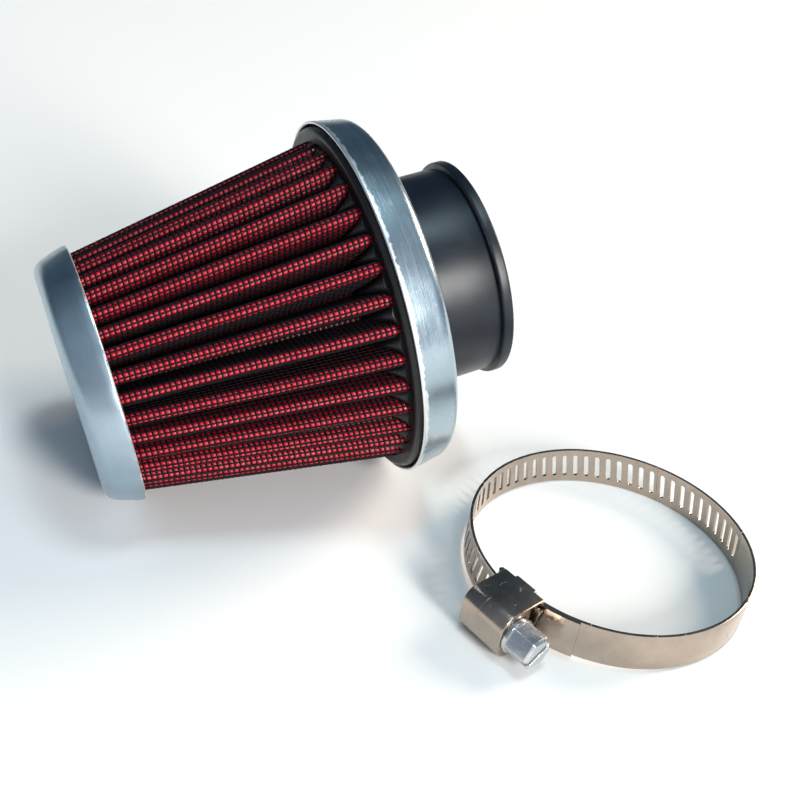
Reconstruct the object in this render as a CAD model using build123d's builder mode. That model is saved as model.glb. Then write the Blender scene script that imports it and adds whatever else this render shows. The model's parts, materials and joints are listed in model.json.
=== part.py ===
"""Pod air filter lying on its side, with its worm-drive clamp lying open beside it.

The table is z = 0.  The filter's axis runs along +X and rises towards the neck, because
the filter rests on the edge of its small cap and on the edge of its large ring.
Stations along the axis are measured from the outer face of the cap.
"""
from build123d import *
from math import asin, cos, degrees, radians, sin
import os

# ---------------------------------------------------------------- driving dimensions
sheet = 0.6  # stamped cap and ring
cap_edge_radius = 25.0
cap_taper = 2.0  # from the cap's edge radius to its face radius
cap_depth = 7.1
cap_corner = 3.0
cap_floor_thickness = 5.8  # potting inside the cap

pleat_count = 35
pleat_turn = 3.6  # degrees from level to the first ridge
pleat_length = 49.9
ridge_inset_cap = 1.7  # ridges inside the cap's edge radius
ridge_inset_ring = 3.5  # and inside the ring's
pleat_depth = 7.0
ridge_half_width = 1.3
valley_half_width = 0.12
mesh_thickness = 0.28
gauze_thickness = 0.26
ply_gap = 0.02

ring_edge_radius = 35.9
ring_taper = 1.3  # from the ring's edge radius to its back radius
ring_width = 7.9
ring_corner = 2.4
potting_proud = 1.0  # potting that shows in front of the ring's edge

neck_bore_radius = 19.0
neck_wall = 2.0
neck_reach = 17.2  # from the ring's back face to the mouth
neck_flange_reach = 9.5  # beyond the neck
neck_flange_thickness = 2.5
neck_flange_cover = 3.0  # potting between the flange and the ring
bead_height = 1.0
bead_width = 2.2
mouth_round = 0.5

band_width = 8.0
band_thickness = 0.6
band_inner_radius = 25.8  # at the fixed end
slot_pitch = 2.4
slot_length = 5.2
slot_width = 1.0
slot_slant = 12.0
slots_begin = 150.0  # degrees round the loop from the housing
hinge_gap = 0.2
hinge_angles = [30.0, 80.0, 130.0, 180.0, 230.0, 280.0]
fold_end_angle = 27.0

saddle_thickness = 0.5
tail_clearance = 0.45
tail_tip_angle = 11.0
tail_plain_angle = 3.0  # from the last slot to the tip
worm_radius = 3.2
worm_core_radius = 2.5
worm_clearance = 0.15
thread_crest = 0.6
thread_root = 1.5
journal_radius = 1.7
journal_clearance = 0.08
head_across_flats = 6.0
head_length = 5.0
collar_step = 0.4  # collar beyond the worm
collar_thickness = 0.8
head_slot_width = 1.0
head_slot_depth = 1.4
head_slot_turn = 30.0
head_chamfer = 0.5
end_play = 0.1
housing_length = 10.0
housing_wall = 0.6
housing_rounding = 3.2
lug_length = 5.0
lug_reach = 1.6
edge_clearance = 0.15  # between the band's edges and the housing

housing_heading = -162.0  # direction of the housing from the loop's centre
clamp_ahead = 37.76  # loop centre from the ring's front edge, along X
clamp_aside = -52.17

# ---------------------------------------------------------------- derived radii and stations
cap_face_radius = cap_edge_radius - cap_taper
ridge_radius_cap = cap_edge_radius - ridge_inset_cap
ridge_radius_ring = ring_edge_radius - ridge_inset_ring
ring_back_radius = ring_edge_radius - ring_taper
pleat_start = sheet + cap_floor_thickness
pleat_end = pleat_start + pleat_length
ring_front = pleat_end + potting_proud
ring_back = ring_front + ring_width
neck_mouth = ring_back + neck_reach
neck_radius = neck_bore_radius + neck_wall
neck_flange_radius = neck_radius + neck_flange_reach
flange_back = ring_back - sheet - neck_flange_cover
flange_front = flange_back - neck_flange_thickness
collar_radius = worm_radius + collar_step

# ---------------------------------------------------------------- frame of the filter
tilt = asin((ring_edge_radius - cap_edge_radius) / (ring_front - cap_depth))
axis_x = cos(tilt)
axis_z = sin(tilt)
corner_x = cap_corner * axis_x - (cap_face_radius - cap_corner) * axis_z - cap_corner

band_mid_start = band_inner_radius + band_thickness / 2
saddle_radius = band_inner_radius + 2 * band_thickness
tail_inner_radius = saddle_radius + saddle_thickness + tail_clearance
band_mid_end = tail_inner_radius + band_thickness / 2
worm_offset = tail_inner_radius + band_thickness + tail_clearance + worm_radius
housing_bore = worm_radius + worm_clearance
housing_proud = edge_clearance + housing_wall


def band_radius(angle):
    """Mid radius of the band: it grows smoothly from the fixed end to the tail."""
    share = min(max((angle - hinge_angles[0]) / (hinge_angles[-1] - hinge_angles[0]), 0), 1)
    return band_mid_start + (band_mid_end - band_mid_start) * share * share * (3 - 2 * share)


# the box of the whole object is centred on the origin
ring_front_x = ring_front * axis_x
loop_x = ring_front_x + clamp_ahead
low_x = corner_x
high_x = loop_x + band_radius(-housing_heading) + band_thickness / 2
low_y = clamp_aside - band_radius(-90 - housing_heading) - band_thickness / 2
high_y = ring_edge_radius
shift_x = -(low_x + high_x) / 2
shift_y = -(low_y + high_y) / 2

start_height = ring_edge_radius * axis_x - ring_front * axis_z
filter_origin = Vector(shift_x, shift_y, start_height)
filter_direction = Vector(axis_x, 0, axis_z)
filter_axis = Axis(filter_origin, filter_direction)
axial = Plane(origin=filter_origin, x_dir=filter_direction, z_dir=(0, -1, 0))
across = Plane(origin=filter_origin, x_dir=(0, 1, 0), z_dir=filter_direction)

# the loop leans a little, because the housing is wider than the band
lean = asin(housing_proud / (saddle_radius + band_mid_end))
heading = radians(housing_heading)
clamp_out = Vector(cos(heading) * cos(lean), sin(heading) * cos(lean), sin(lean))
clamp_up = Vector(-cos(heading) * sin(lean), -sin(heading) * sin(lean), cos(lean))
clamp_origin = Vector(loop_x + shift_x, clamp_aside + shift_y, band_mid_end * sin(lean))
loop = Plane(origin=clamp_origin, x_dir=clamp_out, z_dir=clamp_up)
screw_height = band_width / 2
screw_plane = Plane(
    origin=loop.from_local_coords(Vector(worm_offset, 0, screw_height)),
    x_dir=clamp_out,
    z_dir=loop.y_dir,
)


def polar(radius, angle):
    """A point of the loop plane at an angle in degrees from the housing."""
    return (radius * cos(radians(angle)), radius * sin(radians(angle)))


def finish(part, name):
    """Label a piece and write its file."""
    part.label = name
    export_step(part, f"parts/{name}.step")


os.makedirs("parts", exist_ok=True)

# ---------------------------------------------------------------- end cap
with BuildPart() as end_cap:
    with BuildSketch(axial):
        with BuildLine():
            Polyline(
                (cap_depth, cap_edge_radius - sheet),
                (cap_depth, cap_edge_radius),
                (0, cap_face_radius),
                (0, 0),
                (sheet, 0),
                (sheet, cap_face_radius - sheet),
                close=True,
            )
        make_face()
        rim = vertices().filter_by(lambda v: v.X < sheet / 2)
        fillet(rim.sort_by(Axis.Y)[-1], cap_corner)
        rim = vertices().filter_by(lambda v: abs(v.X - sheet) < sheet / 4)
        fillet(rim.sort_by(Axis.Y)[-1], cap_corner - sheet)
    revolve(axis=filter_axis)
finish(end_cap.part, "end_cap")

# ---------------------------------------------------------------- potting that closes the cap
cap_slope = (cap_edge_radius - cap_face_radius) / cap_depth
with BuildPart() as cap_potting:
    with BuildSketch(axial):
        with BuildLine():
            Polyline(
                (sheet, 0),
                (sheet, cap_face_radius - sheet),
                (pleat_start, cap_face_radius - sheet + cap_slope * (pleat_start - sheet)),
                (pleat_start, 0),
                close=True,
            )
        make_face()
        rim = vertices().filter_by(lambda v: v.X < 2 * sheet)
        fillet(rim.sort_by(Axis.Y)[-1], cap_corner - sheet)
    revolve(axis=filter_axis)
finish(cap_potting.part, "cap_potting")


# ---------------------------------------------------------------- pleated element
def pleat_outline(ridge_radius, depth_in):
    """One closed zigzag round the axis, moved inwards through the pack by depth_in."""
    ridge = ridge_radius - depth_in
    valley = ridge_radius - pleat_depth - depth_in
    half_pitch = 180 / pleat_count
    points = []
    for number in range(pleat_count):
        centre = radians(pleat_turn + number * 2 * half_pitch)
        ridge_turn = (ridge_half_width - depth_in) / ridge
        valley_turn = radians(half_pitch) - (valley_half_width + depth_in) / valley
        for radius, turn in (
            (valley, -valley_turn),
            (ridge, -ridge_turn),
            (ridge, ridge_turn),
            (valley, valley_turn),
        ):
            points.append((radius * cos(centre + turn), radius * sin(centre + turn)))
    return points


def pleated_ply(name, outside, thickness):
    """A ply of the pleated pack between two depths, from the cap to the ring."""
    ends = (
        (across.offset(pleat_start), ridge_radius_cap),
        (across.offset(pleat_end), ridge_radius_ring),
    )
    with BuildPart() as ply:
        for depth_in, mode in ((outside, Mode.ADD), (outside + thickness, Mode.SUBTRACT)):
            for plane, radius in ends:
                with BuildSketch(plane):
                    with BuildLine():
                        Polyline(*pleat_outline(radius, depth_in), close=True)
                    make_face()
            loft(ruled=True, mode=mode)
    finish(ply.part, name)


depth = 0
for name, thickness in (
    ("outer_mesh", mesh_thickness),
    ("gauze_outer_ply", gauze_thickness),
    ("gauze_inner_ply", gauze_thickness),
    ("inner_mesh", mesh_thickness),
):
    pleated_ply(name, depth, thickness)
    depth += thickness + ply_gap

# ---------------------------------------------------------------- base ring
ring_slope = (ring_edge_radius - ring_back_radius) / ring_width
with BuildPart() as base_ring:
    with BuildSketch(axial):
        with BuildLine():
            Polyline(
                (ring_front, ring_edge_radius - sheet),
                (ring_front, ring_edge_radius),
                (ring_back, ring_back_radius),
                (ring_back, neck_radius),
                (ring_back - sheet, neck_radius),
                (ring_back - sheet, ring_back_radius - sheet),
                close=True,
            )
        make_face()
        rim = vertices().filter_by(lambda v: v.X > ring_back - sheet / 2)
        fillet(rim.sort_by(Axis.Y)[-1], ring_corner)
        rim = vertices().filter_by(lambda v: abs(v.X - ring_back + sheet) < sheet / 4)
        fillet(rim.sort_by(Axis.Y)[-1], ring_corner - sheet)
    revolve(axis=filter_axis)
finish(base_ring.part, "base_ring")

# ---------------------------------------------------------------- neck with its flange and bead
bead_radius = neck_radius + bead_height
with BuildPart() as neck:
    with BuildSketch(axial):
        with BuildLine():
            Polyline(
                (flange_front, neck_bore_radius),
                (flange_front, neck_flange_radius),
                (flange_back, neck_flange_radius),
                (flange_back, neck_radius),
                (neck_mouth - bead_width, neck_radius),
                (neck_mouth - bead_width + bead_height, bead_radius),
                (neck_mouth, bead_radius),
                (neck_mouth, neck_bore_radius),
                close=True,
            )
        make_face()
        lip = vertices().filter_by(lambda v: v.X > neck_mouth - bead_width + bead_height / 2)
        fillet(lip, mouth_round)
    revolve(axis=filter_axis)
finish(neck.part, "neck")

# ---------------------------------------------------------------- potting inside the ring
potting_back = ring_back - sheet
potting_edge = ring_edge_radius - sheet
with BuildPart() as base_potting:
    with BuildSketch(axial):
        with BuildLine():
            Polyline(
                (pleat_end, neck_bore_radius),
                (pleat_end, potting_edge - potting_proud),
                (ring_front, potting_edge),
                (potting_back, ring_back_radius - sheet),
                (potting_back, neck_radius),
                (flange_back, neck_radius),
                (flange_back, neck_flange_radius),
                (flange_front, neck_flange_radius),
                (flange_front, neck_bore_radius),
                close=True,
            )
        make_face()
        rim = vertices().filter_by(lambda v: abs(v.X - potting_back) < sheet / 4)
        fillet(rim.sort_by(Axis.Y)[-1], ring_corner - sheet)
    revolve(axis=filter_axis)
finish(base_potting.part, "base_potting")

# ---------------------------------------------------------------- slots of the band
last_slot_angle = 360 + tail_tip_angle - tail_plain_angle
slot_step = degrees(slot_pitch / band_mid_end)
slot_count = int((last_slot_angle - slots_begin) / slot_step)
slot_half = slot_width / 2 + slot_length * sin(radians(slot_slant)) / 2
slot_margin = degrees(slot_half / band_mid_end)


# ---------------------------------------------------------------- spans of the band
def band_span(name, first, last):
    """A span of the band between two angles of the loop, with the slots it holds."""
    middle = (first + last) / 2
    half = band_thickness / 2
    slot_angles = [last_slot_angle - number * slot_step for number in range(slot_count)]
    with BuildPart() as span:
        with BuildSketch(loop):
            with BuildLine():
                outside = ThreePointArc(
                    polar(band_radius(first) + half, first),
                    polar(band_radius(middle) + half, middle),
                    polar(band_radius(last) + half, last),
                )
                inside = ThreePointArc(
                    polar(band_radius(last) - half, last),
                    polar(band_radius(middle) - half, middle),
                    polar(band_radius(first) - half, first),
                )
                Line(outside @ 1, inside @ 0)
                Line(inside @ 1, outside @ 0)
            make_face()
        extrude(amount=band_width)
        for angle in slot_angles:
            if first + slot_margin < angle < last - slot_margin:
                inner = polar(band_radius(angle) - band_thickness, angle)
                turn = radians(angle)
                face = Plane(
                    origin=loop.from_local_coords(Vector(*inner, band_width / 2)),
                    x_dir=loop.y_dir * cos(turn) - loop.x_dir * sin(turn),
                    z_dir=loop.x_dir * cos(turn) + loop.y_dir * sin(turn),
                )
                with BuildSketch(face):
                    SlotOverall(slot_length, slot_width, rotation=90 - slot_slant)
                extrude(amount=2 * band_thickness, mode=Mode.SUBTRACT)
    finish(span.part, name)


hinge_half_gap = degrees(hinge_gap / 2 / band_mid_start)
for number in range(len(hinge_angles) - 1):
    band_span(
        f"band_span_{number + 1}",
        hinge_angles[number] + hinge_half_gap,
        hinge_angles[number + 1] - hinge_half_gap,
    )
band_span("band_tail", hinge_angles[-1] + hinge_half_gap, 360 + tail_tip_angle)

# ---------------------------------------------------------------- fixed end, folded back on itself
fold_angle = -degrees((housing_length / 2 + band_thickness) / band_mid_start)
fixed_end_angle = hinge_angles[0] - hinge_half_gap
single_radius = band_inner_radius + band_thickness
fold_tip_angle = fold_angle - degrees(band_thickness / single_radius)
with BuildPart() as band_fixed_end:
    with BuildSketch(loop):
        with BuildLine():
            inner_face = CenterArc(
                (0, 0), band_inner_radius, fold_angle, fixed_end_angle - fold_angle
            )
            single_face = CenterArc(
                (0, 0), single_radius, fold_end_angle, fixed_end_angle - fold_end_angle
            )
            double_face = CenterArc(
                (0, 0), saddle_radius, fold_angle, fold_end_angle - fold_angle
            )
            ThreePointArc(inner_face @ 0, polar(single_radius, fold_tip_angle), double_face @ 0)
            Line(double_face @ 1, single_face @ 0)
            Line(single_face @ 1, inner_face @ 1)
        make_face()
    extrude(amount=band_width)
finish(band_fixed_end.part, "band_fixed_end")

# ---------------------------------------------------------------- saddle under the tail
saddle_half_angle = degrees((housing_length / 2 - saddle_thickness) / saddle_radius)
with BuildPart() as clamp_saddle:
    with BuildSketch(loop.offset(-edge_clearance)):
        with BuildLine():
            floor_face = CenterArc((0, 0), saddle_radius, -saddle_half_angle, 2 * saddle_half_angle)
            top_face = CenterArc(
                (0, 0), saddle_radius + saddle_thickness, -saddle_half_angle, 2 * saddle_half_angle
            )
            Line(floor_face @ 0, top_face @ 0)
            Line(floor_face @ 1, top_face @ 1)
        make_face()
    extrude(amount=band_width + 2 * edge_clearance)
finish(clamp_saddle.part, "clamp_saddle")

# ---------------------------------------------------------------- housing
half_length = housing_length / 2
half_inside = band_width / 2 + edge_clearance
half_outside = half_inside + housing_wall
lug_top = (band_inner_radius**2 - (lug_length / 2) ** 2) ** 0.5 - worm_offset
crown = housing_bore + housing_wall
channel_top = tail_inner_radius + band_thickness + tail_clearance - worm_offset
journal_hole = journal_radius + journal_clearance
with BuildPart() as clamp_housing:
    with BuildSketch(screw_plane.offset(-half_length)):
        with Locations(((lug_top + crown) / 2, 0)):
            Rectangle(crown - lug_top, 2 * half_outside)
        fillet(vertices().sort_by(Axis.X)[-2:], housing_rounding)
    extrude(amount=housing_length)
    with BuildSketch(screw_plane.offset(-half_length)):
        with Locations(((lug_top + housing_bore) / 2, 0)):
            Rectangle(housing_bore - lug_top, 2 * half_inside)
        fillet(vertices().sort_by(Axis.X)[-2:], housing_rounding - housing_wall)
    extrude(amount=housing_length, mode=Mode.SUBTRACT)
    for station in (-half_length, half_length - housing_wall):
        with BuildSketch(screw_plane.offset(station)):
            with Locations(((channel_top + housing_bore) / 2, 0)):
                Rectangle(housing_bore - channel_top, 2 * half_inside)
            fillet(vertices().sort_by(Axis.X)[-2:], housing_rounding - housing_wall)
            Circle(journal_hole, mode=Mode.SUBTRACT)
        extrude(amount=housing_wall)
    with BuildSketch(screw_plane.offset(-lug_length / 2)):
        for side in (-1, 1):
            with Locations((lug_top - housing_wall / 2, side * (half_outside - lug_reach / 2))):
                Rectangle(housing_wall, lug_reach)
    extrude(amount=lug_length)
finish(clamp_housing.part, "clamp_housing")

# ---------------------------------------------------------------- worm screw
worm_half = half_length - housing_wall - end_play
thread_height = 2 * worm_half - 2 * thread_root
collar_start = half_length + end_play
head_start = collar_start + collar_thickness
head_end = head_start + head_length
screw_axis = Axis(screw_plane.origin, screw_plane.z_dir)
with BuildPart() as clamp_screw:
    thread_foot = screw_plane.offset(-thread_height / 2).origin
    with BuildLine():
        thread_line = Helix(
            slot_pitch,
            thread_height,
            worm_core_radius,
            center=thread_foot,
            direction=screw_plane.z_dir,
        )
    outwards = (thread_line @ 0 - thread_foot).normalized()
    with BuildSketch(Plane(thread_line @ 0, x_dir=outwards, z_dir=thread_line % 0)):
        with BuildLine():
            Polyline(
                (-thread_crest / 2, -thread_root / 2),
                (worm_radius - worm_core_radius, -thread_crest / 2),
                (worm_radius - worm_core_radius, thread_crest / 2),
                (-thread_crest / 2, thread_root / 2),
                close=True,
            )
        make_face()
    sweep(path=thread_line, is_frenet=True)
    with BuildSketch(screw_plane.offset(-worm_half)):
        Circle(worm_core_radius)
    extrude(amount=2 * worm_half)
    with BuildSketch(screw_plane.offset(-half_length)):
        Circle(journal_radius)
    extrude(amount=half_length + head_start)
    with BuildSketch(screw_plane.offset(collar_start)):
        Circle(collar_radius)
    extrude(amount=collar_thickness)
    with BuildSketch(screw_plane.offset(head_start)):
        RegularPolygon(head_across_flats / 2, 6, major_radius=False)
    extrude(amount=head_length)
    chamfer(faces().sort_by(screw_axis)[-1].edges(), head_chamfer)
    with BuildSketch(screw_plane.offset(head_end)):
        Rectangle(2 * head_across_flats, head_slot_width, rotation=head_slot_turn)
    extrude(amount=-head_slot_depth, mode=Mode.SUBTRACT)
finish(clamp_screw.part, "clamp_screw")
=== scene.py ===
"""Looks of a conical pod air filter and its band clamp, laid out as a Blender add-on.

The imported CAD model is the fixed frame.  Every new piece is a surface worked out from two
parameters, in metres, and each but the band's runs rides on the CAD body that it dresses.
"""
import json
from math import atan, cos, degrees, pi, radians, sin, tan

import bmesh
import bpy
import numpy as np
from mathutils import Matrix, Vector


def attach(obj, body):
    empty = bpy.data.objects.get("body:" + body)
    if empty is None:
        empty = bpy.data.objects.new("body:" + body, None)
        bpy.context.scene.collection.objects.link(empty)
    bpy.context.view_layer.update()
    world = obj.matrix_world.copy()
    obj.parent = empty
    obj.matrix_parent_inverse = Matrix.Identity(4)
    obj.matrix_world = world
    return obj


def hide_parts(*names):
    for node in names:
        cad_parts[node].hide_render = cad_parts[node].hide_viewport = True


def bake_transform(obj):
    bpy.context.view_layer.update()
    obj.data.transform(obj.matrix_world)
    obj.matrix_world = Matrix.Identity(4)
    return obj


bl_info = {
    "name": "Pod Air Filter",
    "version": (1, 0, 0),
    "blender": (4, 5, 0),
    "location": "3D View > Sidebar > Pod Filter",
    "description": "Builds a conical pod air filter and its worm-drive band clamp",
    "category": "Object",
}

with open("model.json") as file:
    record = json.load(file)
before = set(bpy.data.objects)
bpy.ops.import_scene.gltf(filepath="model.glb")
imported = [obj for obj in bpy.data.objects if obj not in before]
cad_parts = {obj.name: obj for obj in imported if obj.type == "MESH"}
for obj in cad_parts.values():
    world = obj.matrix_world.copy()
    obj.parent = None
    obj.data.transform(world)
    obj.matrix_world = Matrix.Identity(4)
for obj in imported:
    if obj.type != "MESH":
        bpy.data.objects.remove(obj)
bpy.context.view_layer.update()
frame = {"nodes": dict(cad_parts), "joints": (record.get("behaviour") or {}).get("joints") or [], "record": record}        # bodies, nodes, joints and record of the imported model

MM = 0.001
RECORD = frame["record"]
JOINTS = {joint["name"]: joint for joint in frame["joints"]}
BORE = next(mount for mount in RECORD["mounts"] if mount["name"] == "neck_bore")
SMOOTH = 0.6           # edges flatter than this angle are shaded smooth
SEAM = 0.002 * MM      # points closer than this are one point on a closed surface
JOIN = 0.01 * MM       # and on a sheet or a CAD copy


# ---------- sizes and colours
def length(label, about, default):
    """A length property in metres, given in millimetres."""
    return bpy.props.FloatProperty(
        name=label, description=about, default=default * MM, unit="LENGTH", precision=5
    )


def colour(label, about, default):
    """A colour property, in linear light."""
    return bpy.props.FloatVectorProperty(
        name=label, description=about, default=default, size=3, subtype="COLOR", min=0, max=1
    )


class PodFilterSizes(bpy.types.PropertyGroup):
    pleats: bpy.props.IntProperty(name="Pleats", description="Folds round the cone", default=35)
    first_ridge: bpy.props.FloatProperty(
        name="First ridge", description="Angle from the high side to the first ridge",
        default=radians(-86.4), subtype="ANGLE",
    )
    cells_across: bpy.props.FloatProperty(
        name="Cells across", description="Mesh cells across one pleat", default=546 / 35
    )
    cap_depth: length("Cap depth", "Depth of the end cap", 7.1)
    cap_edge: length("Cap edge radius", "Radius of the cap where the pleats begin", 25.0)
    cap_face: length("Cap face radius", "Radius of the cap at its closed face", 23.0)
    cap_corner: length("Cap corner", "Rounding of the cap's closed end", 3.0)
    sheet: length("Sheet", "Thickness of the stamped metal", 0.6)
    pleat_start: length("Pleat start", "Station where the pleats leave the cap", 6.4)
    pleat_end: length("Pleat end", "Station where the pleats meet the base", 56.3)
    ridge_cap: length("Ridge radius at cap", "Outer radius of the pleats at the cap", 23.3)
    ridge_ring: length("Ridge radius at ring", "Outer radius of the pleats at the ring", 32.4)
    pleat_depth: length("Pleat depth", "From ridge to valley", 7.0)
    ridge_half: length("Ridge half width", "Half width of a ridge", 1.3)
    valley_half: length("Valley half width", "Half width of a valley", 0.12)
    wire: length("Wire", "Diameter of the mesh wire", 0.30)
    mesh_pitch: length("Mesh pitch", "Distance between wires", 1.0)
    ring_front: length("Ring front", "Station of the base ring's edge", 57.3)
    ring_back: length("Ring back", "Station of the base ring's flat face", 65.2)
    ring_edge: length("Ring edge radius", "Radius of the ring's edge", 35.9)
    ring_rear: length("Ring back radius", "Radius of the ring at its flat face", 34.6)
    ring_corner: length("Ring corner", "Rounding of the ring", 2.4)
    bore: length("Bore radius", "Radius of the neck's bore", 19.0)
    neck: length("Neck radius", "Outer radius of the neck", 21.0)
    mouth: length("Mouth", "Station of the neck's mouth", 82.4)
    bead: length("Bead height", "Height of the bead at the mouth", 1.0)
    bead_width: length("Bead width", "Width of the bead at the mouth", 2.2)


class PodClampSizes(bpy.types.PropertyGroup):
    band_width: length("Band width", "Width of the strip", 8.0)
    band: length("Band thickness", "Thickness of the strip", 0.6)
    radius_start: length("Radius at fixed end", "Mid radius where the loop begins", 26.1)
    radius_end: length("Radius at tail", "Mid radius where the loop ends", 28.25)
    slot_pitch: length("Slot pitch", "Distance between slots", 2.4)
    slot_length: length("Slot length", "Length of a slot", 5.2)
    slot_width: length("Slot width", "Width of a slot", 1.0)
    worm_offset: length("Worm offset", "From the loop's centre to the screw", 32.2)
    slant: bpy.props.FloatProperty(
        name="Slant", description="Slant of the slots", default=radians(12), subtype="ANGLE"
    )
    slots_begin: bpy.props.FloatProperty(
        name="Slots begin", description="Angle round the loop", default=radians(150),
        subtype="ANGLE",
    )


class PodFinishes(bpy.types.PropertyGroup):
    # painted reflection: the blue tint of this metal colour stands in for a cool sky reflected in
    # the cap, the ring and the inner wires
    metal: colour("Metal", "Spun cap and stamped ring", (0.50, 0.62, 0.70))
    gauze: colour("Gauze", "Oiled cotton gauze", (0.82, 0.014, 0.045))
    # painted shade: the colour the gauze darkens to in the valleys; beside the wires the dark is
    # partly painted shadow and partly thick oil
    gauze_painted_shade: colour("Gauze shade", "Gauze where the oil is thick", (0.035, 0.0, 0.003))
    wire: colour("Wire", "Coated mesh wire", (0.006, 0.004, 0.006))
    potting: colour("Potting", "Moulded base and cap filling", (0.003, 0.003, 0.004))
    neck: colour("Neck", "Moulded neck", (0.003, 0.006, 0.012))
    # painted reflection: the warm brown of this steel colour stands in for a brown table reflected
    # in the strip, the housing and the saddle
    steel: colour("Steel", "Bright stainless strip", (0.56, 0.46, 0.38))
    zinc: colour("Zinc", "Plated screw", (0.78, 0.79, 0.80))


class PodStage(bpy.types.PropertyGroup):
    heading: bpy.props.FloatProperty(
        name="Heading", description="Direction of view from +Y towards +X", default=radians(27.6),
        subtype="ANGLE",
    )
    pitch: bpy.props.FloatProperty(
        name="Pitch", description="How far the camera looks down", default=radians(34.17),
        subtype="ANGLE",
    )
    roll: bpy.props.FloatProperty(
        name="Roll", description="Turn of the camera about its view", default=radians(-8.77),
        subtype="ANGLE",
    )
    eye: bpy.props.FloatVectorProperty(
        name="Eye", description="Place of the camera", default=(-0.08981, -0.17176, 0.1569),
        size=3, subtype="TRANSLATION",
    )
    lens: bpy.props.FloatProperty(name="Lens", description="Focal length in mm", default=55.0)
    floor: colour("Floor", "Plain pale floor", (0.86, 0.86, 0.86))


# ---------- frames of the two groups
class Frame:
    """An origin and three unit directions, which turn local coordinates into the row frame."""

    def __init__(self, origin, x, y, z):
        self.origin, self.x, self.y, self.z = (np.array(v, float) for v in (origin, x, y, z))

    def place(self, x, y, z):
        """Arrays of local coordinates become one array of points."""
        x, y, z = np.broadcast_arrays(x, y, z)
        return (
            self.origin
            + x[..., None] * self.x
            + y[..., None] * self.y
            + z[..., None] * self.z
        )


def filter_frame():
    """Local x runs along the filter from its cap, y is the high side and z is level."""
    along = np.array(BORE["axis"], float)
    level = np.cross(along, (0.0, 0.0, 1.0))
    level /= np.linalg.norm(level)
    high = np.cross(level, along)
    mouth = np.array(BORE["pos_m"]) + along * BORE["dims"]["length_mm"] * MM / 2
    origin = mouth - along * bpy.context.scene.pod_filter.mouth
    return Frame(origin, along, high, level)


def loop_frame():
    """Local x points from the loop's centre to the housing, y to the screw's head, z is up."""
    clamp = bpy.context.scene.pod_clamp
    screw = JOINTS["screw_turn"]
    up = np.array(JOINTS["band_bend_1"]["axis"], float)
    ahead = -np.array(screw["axis"], float)
    out = np.cross(ahead, up)
    origin = np.array(screw["pos_m"]) - out * clamp.worm_offset - up * clamp.band_width / 2
    return Frame(origin, out, ahead, up)


# ---------- meshes
def weld(source, target, distance, then=None):
    """Join the points of a mesh that are closer than a distance, then run one more step."""
    shell = bmesh.new()
    shell.from_mesh(source)
    bmesh.ops.remove_doubles(shell, verts=shell.verts, dist=distance)
    if then is not None:
        then(shell)
    shell.to_mesh(target)
    shell.free()


def face_outwards(shell):
    bmesh.ops.recalc_face_normals(shell, faces=shell.faces)


def join_flat_faces(shell):
    bmesh.ops.dissolve_limit(
        shell, angle_limit=radians(0.5), verts=shell.verts, edges=shell.edges
    )


def new_object(name, points, faces, uv=None, smooth=SMOOTH, closed=False):
    """Turn points and faces into an object; uv holds one pair of metres for each point.

    A closed surface is welded at its seam and poles, and its faces are turned outwards.
    """
    mesh = bpy.data.meshes.new(name)
    mesh.from_pydata(points.reshape(-1, 3), [], faces)
    if uv is not None:
        corners = np.zeros(len(mesh.loops), np.int32)
        mesh.loops.foreach_get("vertex_index", corners)
        layer = mesh.uv_layers.new(name="metres")
        layer.data.foreach_set("uv", uv.reshape(-1, 2)[corners].astype(np.float32).ravel())
    if closed:
        weld(mesh, mesh, SEAM, face_outwards)
    mesh.shade_smooth()
    mesh.set_sharp_from_angle(angle=smooth)
    made = bpy.data.objects.new(name, mesh)
    bpy.context.scene.collection.objects.link(made)
    return made


def grid_faces(rows, columns, close_rows=False, close_columns=False):
    """Quads of a grid of rows by columns of points, wrapped round where it closes."""
    i = np.arange(rows if close_rows else rows - 1)[:, None]
    j = np.arange(columns if close_columns else columns - 1)[None, :]
    a = i * columns + j
    b = i * columns + (j + 1) % columns
    c = (i + 1) % rows * columns + (j + 1) % columns
    d = (i + 1) % rows * columns + j
    return np.stack(np.broadcast_arrays(a, b, c, d), -1).reshape(-1, 4)


def lathe(name, profile, turns=240, ripple=None):
    """Carry a closed profile of (station, radius) pairs round the filter's axis.

    ripple is a function of profile and angle arrays that gives extra radius.
    """
    place = filter_frame().place
    angle = np.linspace(0, 2 * pi, turns, endpoint=False)[:, None]
    station, radius = profile[None, :, 0], profile[None, :, 1]
    if ripple is not None:
        radius = radius + ripple(station, radius, angle)
    points = place(station, radius * np.cos(angle), radius * np.sin(angle))
    run = np.r_[0, np.cumsum(np.hypot(*np.diff(profile, axis=0).T))][None, :]
    uv = np.stack(np.broadcast_arrays(angle * profile[:, 1].max(), run), -1)
    faces = grid_faces(turns, len(profile), close_rows=True, close_columns=True)
    return new_object(name, points, faces[:, ::-1], uv, closed=True)


def arc(centre, radius, first, last, steps=8):
    """Points of an arc between two angles in degrees, in profile coordinates."""
    angle = np.radians(np.linspace(first, last, steps))
    return np.stack([centre[0] + radius * np.cos(angle), centre[1] + radius * np.sin(angle)], -1)


def unit(vectors):
    return vectors / np.linalg.norm(vectors, axis=-1, keepdims=True)


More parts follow.
